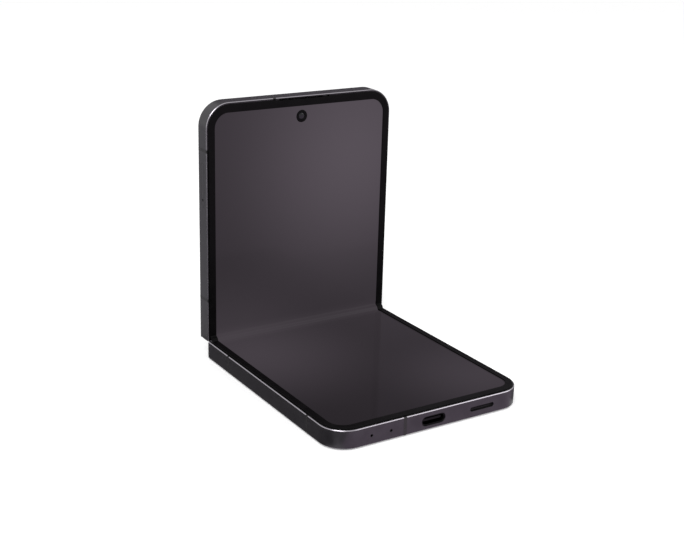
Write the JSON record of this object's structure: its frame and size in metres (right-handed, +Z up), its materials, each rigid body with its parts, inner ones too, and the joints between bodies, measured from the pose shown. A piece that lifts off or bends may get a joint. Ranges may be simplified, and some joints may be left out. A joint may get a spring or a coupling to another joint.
{
  "type": "foldable smartphone",
  "caption": "Clamshell smartphone with an inner display that folds across its middle, on a two-pivot geared hinge, with keys and a SIM tray.",
  "frame": {"origin": "centre of the back face of the lower half, which the phone rests on", "axes": "+X to the right along the fold, +Y from the lower half's outer edge towards the fold, +Z up out of the lower half's display"},
  "size_m": [0.0723, 0.0903, 0.0888],
  "materials": {
    "frame": "satin anodised, dark graphite",
    "antenna_plastic": "matte",
    "bezel": "gloss black",
    "display": "gloss film over a dark panel",
    "back_glass": "satin glass with an opaque backing",
    "camera_glass": "gloss dark",
    "lens_metal": "turned and anodised",
    "steel": "brushed",
    "brass": "plated",
    "adhesive": "matte foam tape",
    "cell": "matte pouch",
    "board": "solder mask",
    "mesh": "woven mesh",
    "diffuser": "frosted"
  },
  "bodies": {
    "lower_half": {"lower_frame": "frame", "lower_antenna_breaks": "antenna_plastic", "lower_bezel": "bezel", "lower_display": "display", "lower_display_plate": "steel", "lower_wing_plate": "steel", "lower_back_glass": "back_glass", "lower_back_seal": "adhesive", "lower_battery": "cell", "ferrite_sheet": "cell", "charging_coil": "brass", "sub_board": "board", "usb_receptacle": "steel", "loudspeaker": "cell", "speaker_grille": "mesh", "microphones": "brass", "vibration_motor": "steel", "lower_screws": "steel", "lower_rotators": "steel", "lower_sync_segments": "steel", "display_fold_lower": "display", "fold_guard_lower": "bezel"},
    "spine": {"hinge_spine": "frame", "spine_end_caps": "frame", "hinge_brackets": "steel", "bearing_plates": "steel", "hinge_screws": "steel", "cam_followers": "steel", "hinge_springs": "steel"},
    "upper_half": {"upper_frame": "frame", "upper_antenna_breaks": "antenna_plastic", "upper_bezel": "bezel", "upper_display": "display", "upper_display_plate": "steel", "upper_wing_plate": "steel", "upper_back_glass": "back_glass", "upper_back_seal": "adhesive", "upper_battery": "cell", "cover_display": "camera_glass", "main_board": "board", "shield_cans": "steel", "main_camera": "camera_glass", "wide_camera": "camera_glass", "lens_rings": "lens_metal", "lens_windows": "camera_glass", "flash": "diffuser", "front_camera": "camera_glass", "earpiece": "steel", "sim_reader": "steel", "key_switches": "brass", "upper_screws": "steel", "upper_rotators": "steel", "upper_sync_segments": "steel", "display_fold_upper": "display", "fold_guard_upper": "bezel"},
    "gear_lower": {"sync_gear_lower": "brass"},
    "gear_upper": {"sync_gear_upper": "brass"},
    "tray": {"sim_tray": "frame"},
    "rocker": {"volume_rocker": "frame"},
    "power_key": {"power_button": "frame"}
  },
  "joints": [
    {"name": "fold_lower", "type": "hinge", "parent": "lower_half", "child": "spine", "pos_m": [0, 0.03927, 0.00545], "axis": [1, 0, 0], "range_deg": [-45, 45], "deforming": ["display_fold_lower", "fold_guard_lower"]},
    {"name": "fold_upper", "type": "hinge", "parent": "spine", "child": "upper_half", "pos_m": [0, 0.0421, 0.00828], "axis": [1, 0, 0], "range_deg": [-45, 45], "deforming": ["display_fold_upper", "fold_guard_upper"]},
    {"name": "gear_lower_spin", "type": "hinge", "parent": "spine", "child": "gear_lower", "pos_m": [0, 0.04136, 0.0046], "axis": [1, 0, 0], "range_deg": [-45, 45]},
    {"name": "gear_upper_spin", "type": "hinge", "parent": "spine", "child": "gear_upper", "pos_m": [0, 0.04295, 0.00619], "axis": [1, 0, 0], "range_deg": [-45, 45]},
    {"name": "tray_slide", "type": "slide", "parent": "upper_half", "child": "tray", "axis": [-1, 0, 0], "range_m": [0, 0.024]},
    {"name": "rocker_tilt", "type": "hinge", "parent": "upper_half", "child": "rocker", "pos_m": [0.0348, 0.0441, 0.05828], "axis": [0, 1, 0], "range_deg": [-1.2, 1.2], "stiffness_Nm_per_rad": 0.4},
    {"name": "power_press", "type": "slide", "parent": "upper_half", "child": "power_key", "axis": [-1, 0, 0], "range_m": [0, 0.00025], "stiffness_N_per_m": 2000}
  ],
  "couplings": [
    {"joint": "fold_upper", "follows": "fold_lower", "ratio": 1},
    {"joint": "gear_lower_spin", "follows": "fold_lower", "ratio": 1},
    {"joint": "gear_upper_spin", "follows": "fold_lower", "ratio": -1}
  ]
}
